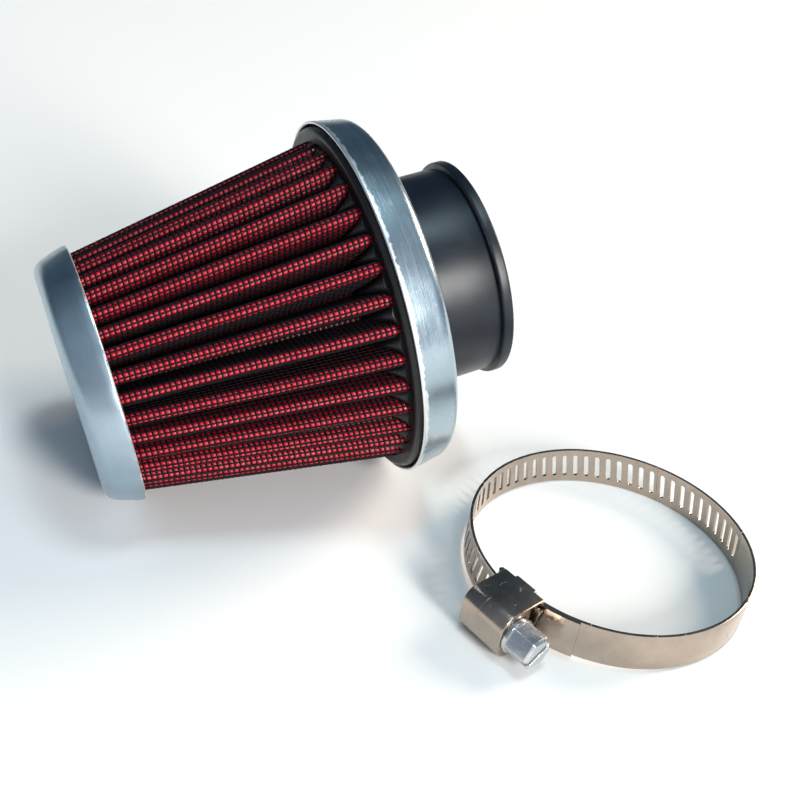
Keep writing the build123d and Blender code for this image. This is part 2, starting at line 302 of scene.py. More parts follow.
def tubes(paths, sides_a, sides_b, radius, sides, closed):
    """Thin tubes along many paths at once: a small polygon carried along each path.

    paths is an array of tubes by points by three; sides_a and sides_b are the two unit
    directions across each path.  Returns points and faces.
    """
    count, steps = paths.shape[:2]
    turn = np.linspace(0, 2 * pi, sides, endpoint=False) + pi / sides
    points = (
        paths[:, :, None]
        + radius * np.cos(turn)[:, None] * sides_a[:, :, None]
        + radius * np.sin(turn)[:, None] * sides_b[:, :, None]
    )
    one = grid_faces(steps, sides, close_rows=closed, close_columns=True)
    starts = np.arange(count)[:, None, None] * steps * sides
    return points, (one[None] + starts).reshape(-1, 4)


def ride(piece, body, slot, material, *nodes):
    """Give a finished piece its body, its material and the nodes it stands for; its slot is not
    used.
    """
    piece.data.materials.append(material)
    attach(piece, body)
    if nodes:
        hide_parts(*nodes)
    return piece


def dress(node, material):
    """Give a CAD node that stays visible its material."""
    kept = frame["nodes"][node].data.materials
    kept.clear()
    kept.append(material)


# ---------- shader nodes
class Value:
    """A number socket: sums on it add Math nodes."""

    def __init__(self, maker, socket):
        self.maker, self.socket = maker, socket

    def math(self, operation, *values):
        return self.maker.math(operation, *values)

    def __add__(self, other):
        return self.math("ADD", self, other)

    __radd__ = __add__

    def __mul__(self, other):
        return self.math("MULTIPLY", self, other)

    __rmul__ = __mul__

    def __sub__(self, other):
        return self.math("SUBTRACT", self, other)

    def __rsub__(self, other):
        return self.math("SUBTRACT", other, self)

    def __truediv__(self, other):
        return self.math("DIVIDE", self, other)

    def __pow__(self, other):
        return self.math("POWER", self, other)

    def clamp(self):
        return self.math("MINIMUM", self.math("MAXIMUM", self, 0.0), 1.0)

    def band(self, low, high):
        """0 below low, 1 above high and smooth between."""
        return self.maker.node(
            "ShaderNodeMapRange",
            {"interpolation_type": "SMOOTHSTEP"},
            {"Value": self, "From Min": low, "From Max": high},
            "Result",
        )


SOCKETS = {
    "base_color": "Base Color",
    "roughness": "Roughness",
    "metallic": "Metallic",
    "normal": "Normal",
    "coat_weight": "Coat Weight",
    "coat_roughness": "Coat Roughness",
    "coat_ior": "Coat IOR",
    "specular": "Specular IOR Level",
}


class Nodes:
    """Short ways to add nodes to one node tree."""

    def __init__(self, tree):
        self.tree = tree

    def plug(self, socket, value):
        """Set a socket to a number or colour, or link it to a value or socket."""
        if isinstance(value, Value):
            value = value.socket
        if isinstance(value, bpy.types.NodeSocket):
            self.tree.links.new(value, socket)
        else:
            socket.default_value = value

    def node(self, kind, settings, inputs, output=0):
        """Add a node: its settings first, then its inputs; returns one output as a Value."""
        made = self.tree.nodes.new(kind)
        for key, value in settings.items():
            setattr(made, key, value)
        for key, value in inputs.items():
            self.plug(made.inputs[key], value)
        return Value(self, made.outputs[output])

    def math(self, operation, *values):
        inputs = {number: value for number, value in enumerate(values)}
        return self.node("ShaderNodeMath", {"operation": operation}, inputs)

    def mix(self, share, first, second):
        """A colour between two colours."""
        settings = {"data_type": "RGBA"}
        return self.node("ShaderNodeMix", settings, {0: share, 6: first, 7: second}, 2)

    def noise(self, vector, scale, detail=2.0, roughness=0.5):
        inputs = {"Vector": vector, "Scale": scale, "Detail": detail, "Roughness": roughness}
        return self.node("ShaderNodeTexNoise", {}, inputs, "Fac")

    def place(self):
        return self.node("ShaderNodeTexCoord", {}, {}, "Object")

    def uv(self):
        return self.node("ShaderNodeUVMap", {"uv_map": "metres"}, {}, "UV")

    def parts(self, vector):
        """The three numbers of a vector."""
        split = self.node("ShaderNodeSeparateXYZ", {}, {"Vector": vector}).socket.node
        return [Value(self, out) for out in split.outputs]

    def vector(self, x, y, z):
        return self.node("ShaderNodeCombineXYZ", {}, {"X": x, "Y": y, "Z": z})

    def turned(self, local):
        """Object coordinates in a group's own frame: one dot product for each direction."""

        def step(operation, first, second, output):
            inputs = {0: first, 1: tuple(second)}
            return self.node("ShaderNodeVectorMath", {"operation": operation}, inputs, output)

        moved = step("SUBTRACT", self.place(), local.origin, 0)
        return [step("DOT_PRODUCT", moved, way, "Value") for way in (local.x, local.y, local.z)]

    def bump(self, height, distance, strength):
        inputs = {"Height": height, "Distance": distance, "Strength": strength}
        return self.node("ShaderNodeBump", {}, inputs, "Normal")


class Finish(Nodes):
    """One material with its Principled shader."""

    def __init__(self, name, base, metallic=0.0, roughness=0.5, **fixed):
        self.material = bpy.data.materials.new(name)
        self.material.use_nodes = True
        super().__init__(self.material.node_tree)
        self.shader = self.tree.nodes["Principled BSDF"]
        self.base = (*base, 1)
        self.feed(base_color=self.base, metallic=metallic, roughness=roughness, **fixed)

    def feed(self, **inputs):
        """Set the shader's constant inputs, and link its varying ones."""
        for key, value in inputs.items():
            self.plug(self.shader.inputs[SOCKETS[key]], value)


def spun_metal(name, base, roughness, worn, lip):
    """Spun sheet: fine rings round the axis, cloudy smudges, and wear that brightens its lip.

    lip is the pair of stations between which the wear fades in towards the edge.
    """
    finish = Finish(name, base, metallic=1.0)
    along, high, level = finish.turned(filter_frame())
    radius = (high * high + level * level) ** 0.5
    rings = finish.noise(finish.vector(along, radius, high * 0.04), 2600.0, 3.0, 0.7)
    fine = finish.noise(finish.vector(along, radius, level * 0.15), 9000.0, 2.0)
    cloud = finish.noise(finish.place(), 70.0, 4.0, 0.6)
    spots = finish.noise(finish.place(), 520.0, 4.0, 0.75)
    scuffs = spots.band(0.60, 0.72) * worn
    edge = (along - lip[0]) / (lip[1] - lip[0])
    bare = (edge.clamp() + spots * 0.9 - 0.55).band(0.42, 0.62)
    shade = (cloud * 1.1 + rings * 0.35 - 0.30).clamp()
    metal = finish.mix(shade, (*(0.66 * c for c in base), 1), (*base, 1))
    finish.feed(
        base_color=finish.mix((scuffs + bare * 0.85).clamp(), metal, (0.93, 0.94, 0.95, 1)),
        roughness=(rings * 0.16 + cloud * 0.22 + roughness - 0.19 + bare * 0.15).clamp(),
        normal=finish.bump(rings * 0.5 + fine * 0.3 + bare * 0.6, 0.00005, 0.5),
    )
    return finish.material


def moulded(name, base, roughness, grain):
    """Moulded rubber: a fine grain, faint flow marks and a slightly uneven shine."""
    finish = Finish(name, base, roughness=roughness, specular=0.45)
    cloud = finish.noise(finish.place(), 120.0, 3.0, 0.6)
    skin = finish.noise(finish.place(), 5200.0, 2.0, 0.6)
    lighter = (*(min(1.0, 2.4 * c + 0.004) for c in base), 1)
    finish.feed(
        base_color=finish.mix((cloud * skin).band(0.2, 0.42) * 0.5, finish.base, lighter),
        roughness=(cloud * 0.22 + skin * 0.10 + roughness - 0.16).clamp(),
        normal=finish.bump(skin, grain, 0.6),
    )
    return finish.material


def oiled_gauze(name, sizes, base, shade):
    """Cotton gauze soaked in red oil, which puffs up through each cell of the mesh.

    The UV map counts pleats across and metres along.  The puff is a product of two cosines
    with their peaks at the cells' centres.  The red falls to painted shade from the ridge into
    the valley, and to a dark beside the wires that is partly painted shadow and partly thick oil.
    """
    finish = Finish(name, base, roughness=0.4, coat_roughness=0.16, coat_ior=1.5)
    around, along, _ = finish.parts(finish.uv())
    cells = (along - sizes.pleat_start) / sizes.mesh_pitch
    puff_across = finish.math("COSINE", around * (2 * pi * sizes.cells_across)) * 0.5 + 0.5
    puff_along = finish.math("COSINE", cells * (2 * pi)) * 0.5 + 0.5
    puff = (puff_across * puff_along) ** 0.6
    threads = finish.math("SINE", cells * (2 * pi * 4)) * finish.math(
        "SINE", around * (2 * pi * sizes.cells_across * 4)
    )
    pool = finish.noise(finish.place(), 700.0, 3.0, 0.6)
    # painted shade: depth is 1 on the ridges and 0 in the valleys and darkens the colour into the
    # valleys; the puff's dark beside the wires is partly painted shadow and partly thick oil
    depth = 1 - finish.math("ABSOLUTE", finish.math("FRACT", around) * 2 - 1).band(0.06, 0.46)
    painted_shade_and_oil = (puff * 0.75 + pool * 0.5 + threads * 0.06 - 0.12).clamp() * (depth * 0.88 + 0.12)
    finish.feed(
        base_color=finish.mix(painted_shade_and_oil, (*shade, 1), finish.base),
        roughness=(0.52 - pool * 0.25).clamp(),
        coat_weight=pool.band(0.38, 0.62) * depth,
        normal=finish.bump(puff + threads * 0.06 + pool * 0.25, 0.00022, 0.8),
    )
    return finish.material


def coated_wire(name, base):
    """Black coated wire, dull, with a little wear on it."""
    finish = Finish(name, base, roughness=0.5, specular=0.18)
    wear = finish.noise(finish.place(), 900.0, 2.0)
    finish.feed(
        base_color=finish.mix(wear.band(0.55, 0.8) * 0.5, finish.base, (0.03, 0.012, 0.016, 1)),
        roughness=wear * 0.3 + 0.4,
    )
    return finish.material


def rolled_steel(name, base, roughness, use_uv):
    """Bright rolled strip: long fine scratches along it, smudges and a few deep marks."""
    finish = Finish(name, base, metallic=1.0)
    if use_uv:
        along, across, _ = finish.parts(finish.uv())
    else:
        across, along, height = finish.turned(loop_frame())
        across = across + height
    fine = finish.noise(finish.vector(along * 0.12, across, 0.0), 5200.0, 3.0, 0.7)
    marks = finish.noise(finish.vector(along, across * 0.35, 0.0), 620.0, 4.0, 0.75)
    smudge = finish.noise(finish.place(), 260.0, 3.0, 0.6)
    deep = marks.band(0.60, 0.66)
    finish.feed(
        base_color=finish.mix(
            (smudge * 0.8 + fine * 0.3 - 0.1).clamp(), (*(0.62 * c for c in base), 1), finish.base
        ),
        roughness=(fine * 0.12 + smudge * 0.16 + roughness - 0.12 + deep * 0.2).clamp(),
        normal=finish.bump(fine * 0.5 + deep * 0.5, 0.00004, 0.5),
    )
    return finish.material


def mesh_over_gauze(name, sizes, base, wire):
    """The inside of the pack: a square grid of bright wires over red gauze.

    The grid is the greater of two cosines of the UV map, which counts pleats and metres.
    """
    finish = Finish(name, base, roughness=0.5)
    around, along, _ = finish.parts(finish.uv())
    hoops = finish.math("COSINE", along * (2 * pi / sizes.mesh_pitch))
    lines = finish.math("COSINE", around * (2 * pi * sizes.cells_across))
    wires = finish.math("MAXIMUM", hoops, lines).band(0.72, 0.86)
    pool = finish.noise(finish.place(), 700.0, 3.0, 0.6)
    red = finish.mix(pool, (*(0.3 * c for c in base), 1), (*base, 1))
    finish.feed(
        base_color=finish.mix(wires, red, (*wire, 1)),
        roughness=0.55 - wires * 0.25,
        metallic=wires * 0.8,
        normal=finish.bump(wires, 0.0002, 0.8),
    )
    return finish.material


# ---------- pleats
def pleat_section(sizes, depth_in, across, share):
    """One pleat's outline: angle and radius for each share of the cone and place across.

    Across runs from 0 to 1 along the line of one pleat, valley to valley.  Half of it is a
    quarter circle from the ridge's top, a straight flank and a small arc into the valley.
    Share runs from 0 at the cap to 1 at the ring.
    """
    ridge = sizes.ridge_cap + (sizes.ridge_ring - sizes.ridge_cap) * share - depth_in
    valley = ridge - sizes.pleat_depth
    round_top = sizes.ridge_half - depth_in
    round_low = sizes.valley_half + depth_in
    half_pitch = pi / sizes.pleats * valley
    flank = np.hypot(ridge - valley - round_top - round_low, half_pitch - round_top - round_low)
    total = pi / 2 * (round_top + round_low) + flank
    run = np.abs(2 * across - 1) * total
    top = np.clip(run / round_top, 0, pi / 2)
    low = np.clip((run - round_top * pi / 2 - flank) / round_low, 0, pi / 2)
    slide = np.clip((run - round_top * pi / 2) / flank, 0, 1)
    sideways = (
        round_top * np.sin(top)
        + slide * (half_pitch - round_top - round_low)
        + round_low * (1 - np.cos(low))
    )
    down = (
        round_top * (1 - np.cos(top))
        + slide * (ridge - valley - round_top - round_low)
        + round_low * np.sin(low)
    )
    radius = ridge - down
    drawn_in = sideways / half_pitch * pi / sizes.pleats
    wide = sideways / ridge
    blend = np.clip(down / (ridge - valley), 0, 1)
    angle = (wide * (1 - blend) + drawn_in * blend) * np.sign(across - 0.5)
    return angle, radius


def pleat_unevenness(sizes, pleat, share):
    """How far each fold leans from its even place, as an angle: two slow waves along it."""
    random = np.random.default_rng(7)
    phase = random.uniform(0, 2 * pi, (2, sizes.pleats))
    lean = random.uniform(-1, 1, sizes.pleats)
    pitch = 2 * pi / sizes.pleats
    slow, quick = phase[0][pleat], phase[1][pleat]
    waves = 0.02 * np.sin(2.2 * share + slow) + 0.012 * np.sin(7 * share + quick)
    return pitch * (0.04 * lean[pleat] + waves)


def pleat_points(sizes, depth_in, around, station):
    """Points of the pleated surface.  Around counts pleats, with its fraction across one."""
    share = (station - sizes.pleat_start) / (sizes.pleat_end - sizes.pleat_start)
    pleat = np.floor(around).astype(int)
    angle, radius = pleat_section(sizes, depth_in, around - pleat, share)
    lean = pleat_unevenness(sizes, pleat % sizes.pleats, share)
    neighbour = pleat + np.where(around - pleat < 0.5, -1, 1)
    beside = pleat_unevenness(sizes, neighbour % sizes.pleats, share)
    near = np.abs(around - pleat - 0.5)
    turn = pleat * 2 * pi / sizes.pleats + sizes.first_ridge + angle
    turn = turn + lean * (1 - near) + beside * near
    return filter_frame().place(station, radius * np.cos(turn), radius * np.sin(turn))


# ---------- filter pieces
class POD_OT_gauze(bpy.types.Operator):
    """The pleated plies under the outer mesh: each a pleated surface, thickened inwards."""

    bl_idname = "pod.gauze"
    bl_label = "Gauze"

    def execute(self, context):
        sizes = context.scene.pod_filter
        finishes = context.scene.pod_finishes
        red = oiled_gauze("oiled_gauze", sizes, finishes.gauze, finishes.gauze_painted_shade)
        # the inner wires take the metal colour, whose blue tint is a painted reflection of a cool
        # sky
        inside = mesh_over_gauze("inner_mesh_over_gauze", sizes, finishes.gauze, finishes.metal)
        around = np.arange(sizes.pleats * 28 + 1) / 28
        station = np.linspace(sizes.pleat_start, sizes.pleat_end, 40)
        uv = np.stack(np.broadcast_arrays(around[None, :], station[:, None]), -1)
        faces = grid_faces(len(station), len(around))
        plies = (
            ("gauze_outer_cloth", 0.28, 0.26, "gauze", red, "gauze_outer_ply"),
            ("gauze_inner_cloth", 0.58, 0.24, "gauze", red, "gauze_inner_ply"),
            ("inner_mesh_cloth", 0.87, 0.20, "mesh_wire", inside, "inner_mesh"),
        )
        for name, depth_in, thickness, slot, material, node in plies:
            points = pleat_points(sizes, depth_in * MM, around[None, :], station[:, None])
            cloth = new_object(name, points, faces, uv, smooth=2.0, closed=True)
            ply = cloth.modifiers.new("ply", "SOLIDIFY")
            ply.thickness = thickness * MM
            ply.offset = -1
            ride(cloth, "filter", slot, material, node)
        return {"FINISHED"}


class POD_OT_mesh(bpy.types.Operator):
    """The woven wire: straight wires along the folds, and hoops that weave over and under."""

    bl_idname = "pod.mesh"
    bl_label = "Wire mesh"

    hoop_groups = 4

    def straight_wires(self, sizes, material):
        """Wires along the cone at fixed places across each pleat."""
        around = (np.arange(round(sizes.pleats * sizes.cells_across)) + 0.5) / sizes.cells_across
        station = np.linspace(sizes.pleat_start, sizes.pleat_end, 9)
        points = pleat_points(sizes, 0.17 * MM, around[:, None], station[None, :])
        beside = pleat_points(sizes, 0.17 * MM, around[:, None] + 0.004, station[None, :])
        along = unit(np.gradient(points, axis=1))
        side = beside - points
        side = unit(side - along * (side * along).sum(-1, keepdims=True))
        out = np.cross(along, side)
        tube, faces = tubes(points, side, out, sizes.wire / 2, 4, closed=False)
        wires = new_object("mesh_wires_along", tube, faces, smooth=2.0)
        ride(wires, "filter", "mesh_wire", material, "outer_mesh")

    def hoops(self, sizes, material, group, count):
        """Every fourth run of hoops: each follows the folds and waves by one wire per cell."""
        half_cell = np.arange(2 * round(sizes.pleats * sizes.cells_across))[None, :]
        number = np.arange(group, count, self.hoop_groups)[:, None]
        station = sizes.pleat_start + (number + 0.5) * sizes.mesh_pitch
        side = np.where((half_cell // 2 + number) % 2 == 0, 1, -1)
        wave = 0.08 * MM * side * (half_cell % 2)
        points = pleat_points(sizes, 0.17 * MM, half_cell / (2 * sizes.cells_across), station)
        step = unit(np.roll(points, -1, 1) - np.roll(points, 1, 1))
        along = np.broadcast_to(filter_frame().x, points.shape)
        out = unit(np.cross(along, step))
        points = points - out * wave[..., None]
        tube, faces = tubes(points, along, out, sizes.wire / 2, 3, closed=True)
        wires = new_object(f"mesh_hoops_{group + 1}", tube, faces, smooth=2.0)
        ride(wires, "filter", "mesh_wire", material)

    def execute(self, context):
        sizes = context.scene.pod_filter
        material = coated_wire("black_wire", context.scene.pod_finishes.wire)
        self.straight_wires(sizes, material)
        count = int((sizes.pleat_end - sizes.pleat_start) / sizes.mesh_pitch)
        for group in range(self.hoop_groups):
            self.hoops(sizes, material, group, count)
        return {"FINISHED"}


class POD_OT_cap(bpy.types.Operator):
    """The spun end cap: a closed profile carried round, with a rolled and crimped rim."""

    bl_idname = "pod.cap"
    bl_label = "End cap"

    def execute(self, context):
        s = context.scene.pod_filter
        wall, roll = s.sheet, 0.45 * MM
        slope = atan((s.cap_edge - s.cap_face) / s.cap_depth)
        corner = (s.cap_corner, s.cap_face + s.cap_corner * (tan(slope) - 1 / cos(slope)))
        rim = (s.cap_depth - roll, s.cap_edge - roll)
        outside = np.vstack([
            [[0, 0]],
            [[0.05 * MM, s.cap_face * 0.45], [0, s.cap_face * 0.8]],
            arc(corner, s.cap_corner, 180, 90 + degrees(slope), 12),
            [[s.cap_depth - 4 * roll, s.cap_edge - 0.25 * MM]],
            arc(rim, roll, 100, -60, 9),
        ])
        inside = np.vstack([
            [[s.cap_depth - 2 * roll, s.cap_edge - wall - roll]],
            arc(corner, s.cap_corner - wall, 90, 180, 8),
            [[wall, 0]],
        ])

        def crimp(station, radius, angle):
            """Shallow flats pressed near the rim, fading towards the closed end."""
            near = np.clip((station - 0.45 * s.cap_depth) / (0.55 * s.cap_depth), 0, 1) ** 2
            uneven = np.sin(29 * angle) + 0.5 * np.sin(17 * angle + 1.3)
            return -0.05 * MM * near * (1 + uneven) * (radius > 0.5 * s.cap_edge)

        cap = lathe("end_cap_spun", np.vstack([outside, inside]), 348, crimp)
        metal = spun_metal(
            "spun_cap", context.scene.pod_finishes.metal, 0.34, 0.08,
            (s.cap_depth - 0.9 * MM, s.cap_depth + 0.2 * MM),
        )
        ride(cap, "filter", "cap_metal", metal, "end_cap")
        return {"FINISHED"}


class POD_OT_ring(bpy.types.Operator):
    """The stamped base ring: a cup with a rounded back corner and a bright worn lip."""

    bl_idname = "pod.ring"
    bl_label = "Base ring"

    def execute(self, context):
        s = context.scene.pod_filter
        wall, lip, turn = s.sheet, 0.3 * MM, s.ring_corner
        slope = atan((s.ring_edge - s.ring_rear) / (s.ring_back - s.ring_front))
        corner = (s.ring_back - turn, s.ring_rear + turn * (tan(slope) - 1 / cos(slope)))
        profile = np.vstack([
            [[s.ring_front + wall, s.ring_edge - wall - 0.05 * MM]],
            arc((s.ring_front + lip, s.ring_edge - lip), lip, 250, 80, 9),
            [[s.ring_front + 1.2 * MM, s.ring_edge - 0.16 * MM]],
            arc(corner, turn, 90 - degrees(slope), 0, 14),
            [[s.ring_back, s.ring_rear * 0.85], [s.ring_back, s.neck + 0.3 * MM]],
            arc((s.ring_back - wall / 2, s.neck + 0.3 * MM), wall / 2, 0, -180, 5),
            [[s.ring_back - wall, s.ring_rear * 0.85]],
            arc(corner, turn - wall, 0, 90, 8),
        ])

        def dents(station, radius, angle):
            """Slight waves left by the stamping."""
            skirt = (radius > 0.9 * s.ring_rear) * (station < s.ring_back - 0.5 * turn)
            return -0.04 * MM * skirt * (1 + np.sin(9 * angle + 0.4) * np.sin(4 * angle + 2.0))

        ring = lathe("base_ring_stamped", profile, 320, dents)
        metal = spun_metal(
            "stamped_ring", context.scene.pod_finishes.metal, 0.26, 0.35,
            (s.ring_front + 2.2 * MM, s.ring_front - 0.1 * MM),
        )
        ride(ring, "filter", "ring_metal", metal, "base_ring")
        return {"FINISHED"}


class POD_OT_potting(bpy.types.Operator):
    """The moulded base: a rounded bead inside the ring, and webs that rise in the valleys."""

    bl_idname = "pod.potting"
    bl_label = "Base potting"

    def execute(self, context):
        s = context.scene.pod_filter
        black = moulded("black_potting", context.scene.pod_finishes.potting, 0.42, 0.00004)
        edge = s.ring_edge - s.sheet - 0.05 * MM
        bead = 1.0 * MM
        profile = np.vstack([
            [[s.ring_front + 2 * MM, s.bore + 1 * MM], [s.pleat_end, s.bore + 1 * MM]],
            [[s.pleat_end - 0.02 * MM, s.ridge_ring - 6 * MM]],
            [[s.pleat_end, s.ridge_ring - 1 * MM]],
            [[s.pleat_end + 0.15 * MM, s.ridge_ring + 0.6 * MM]],
            arc((s.pleat_end + bead, edge - 1.5 * bead), bead, 190, 90, 8),
            [[s.ring_front + 0.9 * MM, edge - 0.3 * bead]],
            [[s.ring_front + 2 * MM, edge - 0.3 * bead]],
        ])
        shoulder = lathe("base_shoulder", profile, 240)
        ride(shoulder, "filter", "potting", black)
        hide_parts("base_potting")
        self.webs(s, "base_webs", s.pleat_end, -1, 4.6 * MM, s.ridge_ring, black)
        self.webs(s, "cap_webs", s.pleat_start, 1, 1.7 * MM, s.ridge_cap, black)
        filled = moulded("black_filling", context.scene.pod_finishes.potting, 0.5, 0.00004)
        dress("cap_potting", filled)
        return {"FINISHED"}

    def webs(self, s, name, station, side, height, ridge, material):
        """A disc whose height rises in each valley and stays down under each ridge.

        The rise is the third power of a cosine round the axis, and falls off outwards.
        """
        steps = 12
        turns = s.pleats * steps
        angle = (np.arange(turns) / steps)[:, None]
        valley = ridge - s.pleat_depth
        radius = np.linspace(valley - 0.4 * MM, ridge - 0.5 * MM, 12)[None, :]
        share = (radius - valley) / s.pleat_depth
        rise = (0.5 - 0.5 * np.cos(2 * pi * (angle - 0.5) + pi)) ** 1.5
        rise = rise * (1 - np.clip(share, 0, 1) ** 1.6) * height
        near = 0.15 * MM
        turn = angle * 2 * pi / s.pleats + s.first_ridge
        top = filter_frame().place(
            station + side * (rise + near), radius * np.cos(turn), radius * np.sin(turn)
        )
        base = filter_frame().place(
            station - side * 0.05 * MM + 0 * rise, radius * np.cos(turn), radius * np.sin(turn)
        )
        points = np.concatenate([top, base[:, ::-1]], axis=1)
        faces = grid_faces(turns, points.shape[1], close_rows=True, close_columns=True)
        ride(new_object(name, points, faces, closed=True), "filter", "potting", material)


class POD_OT_neck(bpy.types.Operator):
    """The moulded neck: a tube with a flange inside the ring and a bead at its mouth."""

    bl_idname = "pod.neck"
    bl_label = "Neck"

    def execute(self, context):
        s = context.scene.pod_filter
        edge, foot = 0.45 * MM, s.mouth - s.bead_width
        top = s.neck + s.bead
        profile = np.vstack([
            [[s.ring_front + 2.2 * MM, s.bore], [s.ring_front + 2.2 * MM, s.neck + 8 * MM]],
            [[s.ring_back - 1.2 * MM, s.neck + 8 * MM], [s.ring_back - 1.2 * MM, s.neck]],
            [[s.ring_back + 1.0 * MM, s.neck], [s.ring_back + 8 * MM, s.neck]],
            [[foot - 0.5 * MM, s.neck], [foot - 0.1 * MM, s.neck - 0.12 * MM]],
            [[foot, s.neck + 0.1 * MM]],
            arc((foot + 0.5 * MM, top - 0.5 * MM), 0.5 * MM, 165, 90, 5),
            arc((s.mouth - edge, top - edge), edge, 90, 0, 6),
            arc((s.mouth - edge, s.bore + edge), edge, 0, -90, 6),
        ])
        neck = lathe("neck_moulded", profile, 240)
        rubber = moulded("satin_neck", context.scene.pod_finishes.neck, 0.36, 0.00005)
        ride(neck, "filter", "neck_rubber", rubber, "neck")
        return {"FINISHED"}


# ---------- clamp pieces
FIRST_HINGE, LAST_HINGE, HINGES = 30.0, 280.0, 6
FOLD_START, FOLD_END, TAIL_TIP = -12.3, 27.0, 371.0


def band_mid_radius(clamp, angle):
    """Mid radius of the strip at an angle in degrees: a smooth rise between two hinges."""
    share = np.clip((angle - FIRST_HINGE) / (LAST_HINGE - FIRST_HINGE), 0, 1)
    return clamp.radius_start + (clamp.radius_end - clamp.radius_start) * share**2 * (3 - 2 * share)


def band_line(clamp):
    """Angles in degrees against the length run along the strip, as two arrays."""
    angle = np.linspace(FOLD_START - 4, TAIL_TIP + 4, 2000)
    radius = band_mid_radius(clamp, angle)
    step = np.hypot(np.diff(radius), np.radians(np.diff(angle)) * (radius[1:] + radius[:-1]) / 2)
    return angle, np.r_[0, np.cumsum(step)]


def band_place(clamp, run, height):
    """Points of the strip's middle surface for a length along it and a height."""
    angles, runs = band_line(clamp)
    angle = np.interp(run, runs, angles)
    radius = band_mid_radius(clamp, angle)
    turn = np.radians(angle)
    return loop_frame().place(radius * np.cos(turn), radius * np.sin(turn), height)


def run_at(clamp, angle):
    angles, runs = band_line(clamp)
    return float(np.interp(angle, angles, runs))


def slot_cell(clamp):
    """One slot's cell in a flat strip: rings of points from the slot's edge to the cell's edge.

    The slot's edge is two straight sides joined by half circles, and the cell's edge is a
    rectangle.  Each ring between is a share of the two, and the whole cell is then slanted.
    """
    half_pitch, half_width = clamp.slot_pitch / 2, clamp.band_width / 2
    round_end = clamp.slot_width / 2
    straight = clamp.slot_length / 2 - round_end
    side, turn = np.linspace(-1, 1, 5)[:-1], np.linspace(0, pi, 9)[:-1]
    one = np.ones(len(side))
    inner = np.concatenate([
        np.stack([one * round_end, side * straight], -1),
        np.stack([np.cos(turn) * round_end, straight + np.sin(turn) * round_end], -1),
    ])
    outer = np.concatenate([
        np.stack([one * half_pitch, side * half_width], -1),
        np.stack([np.cos(turn) * half_pitch, half_width + 0 * turn], -1),
    ])
    inner, outer = np.concatenate([inner, -inner]), np.concatenate([outer, -outer])
    mixes = np.array([0, 0.3, 0.65, 1])[:, None, None]
    rings = inner * (1 - mixes) + outer * mixes
    rings[..., 0] += rings[..., 1] * tan(clamp.slant)
    return rings


def slotted_strip(clamp, first, cells):
    """Points, faces and flat places of a run of slot cells laid end to end along the strip."""
    rings = slot_cell(clamp)
    run = first + (np.arange(cells)[:, None, None] + 0.5) * clamp.slot_pitch + rings[None, ..., 0]
    height = clamp.band_width / 2 + rings[None, ..., 1] + 0 * run
    one = grid_faces(rings.shape[0], rings.shape[1], close_columns=True)
    starts = np.arange(cells)[:, None, None] * rings.shape[0] * rings.shape[1]
    return band_place(clamp, run, height), (one[None] + starts).reshape(-1, 4), run, height


def plain_strip(clamp, first, last, slant_start, slant_end):
    """Points, faces and flat places of a strip with no slots; its two ends may be slanted."""
    columns = int((last - first) / (0.8 * MM))
    share = np.linspace(0, 1, columns + 1)[:, None]
    height = np.linspace(0, clamp.band_width, 5)[None, :]
    slant = (height - clamp.band_width / 2) * tan(clamp.slant)
    run = first + (last - first) * share + slant * (slant_start * (1 - share) + slant_end * share)
    height = height + 0 * run
    return band_place(clamp, run, height), grid_faces(columns + 1, 5)[:, ::-1], run, height


def folded_strip(clamp, last):
    """The fixed end: out along the outer layer, round a half circle, and on along the loop."""
    outer = clamp.radius_start + clamp.band
    back = np.radians(np.linspace(FOLD_END, FOLD_START, 40))
    fold = np.linspace(0, pi, 9)[1:-1]
    middle = clamp.radius_start + clamp.band / 2
    angle = np.radians(np.linspace(FOLD_START, last, 70))
    radius = np.concatenate([
        outer + 0 * back,
        middle + clamp.band / 2 * np.cos(fold),
        band_mid_radius(clamp, np.degrees(angle)),
    ])[:, None]
    turn = np.concatenate([
        back,
        radians(FOLD_START) - clamp.band / 2 * np.sin(fold) / middle,
        angle,
    ])[:, None]
    height = np.linspace(0, clamp.band_width, 5)[None, :]
    share = np.clip((np.degrees(turn) - FOLD_END) / (last - FOLD_END), 0, 1)
    share[: len(back) + len(fold)] = 0
    turn = turn + (height - clamp.band_width / 2) * tan(clamp.slant) * share / radius
    step = np.hypot(np.diff(radius[:, 0]), np.diff(turn[:, 2]) * middle)
    run = np.cumsum(np.r_[0, step])[:, None]
    points = loop_frame().place(radius * np.cos(turn), radius * np.sin(turn), height)
    return points, grid_faces(len(radius), 5)[:, ::-1], run + 0 * height, height + 0 * run


def thicken(piece, thickness, edge):
    """Weld the sheet, give it its thickness about its middle, break its edges, and apply."""
    weld(piece.data, piece.data, JOIN)
    solid = piece.modifiers.new("sheet", "SOLIDIFY")
    solid.thickness = thickness
    solid.offset = 0
    break_edges(piece, edge, 2, 40)


def break_edges(piece, width, segments, limit):
    """Bevel the edges that are sharper than a limit in degrees, and apply all modifiers."""
    broken = piece.modifiers.new("broken_edges", "BEVEL")
    broken.width, broken.segments, broken.angle_limit = width, segments, radians(limit)
    apply_modifiers(piece)


def apply_modifiers(piece):
    """Replace the mesh by what its modifiers make of it."""
    bpy.context.view_layer.update()
    final = piece.evaluated_get(bpy.context.evaluated_depsgraph_get())
    mesh = bpy.data.meshes.new_from_object(final)
    piece.modifiers.clear()
    piece.data = mesh
    mesh.shade_smooth()
    mesh.set_sharp_from_angle(angle=SMOOTH)


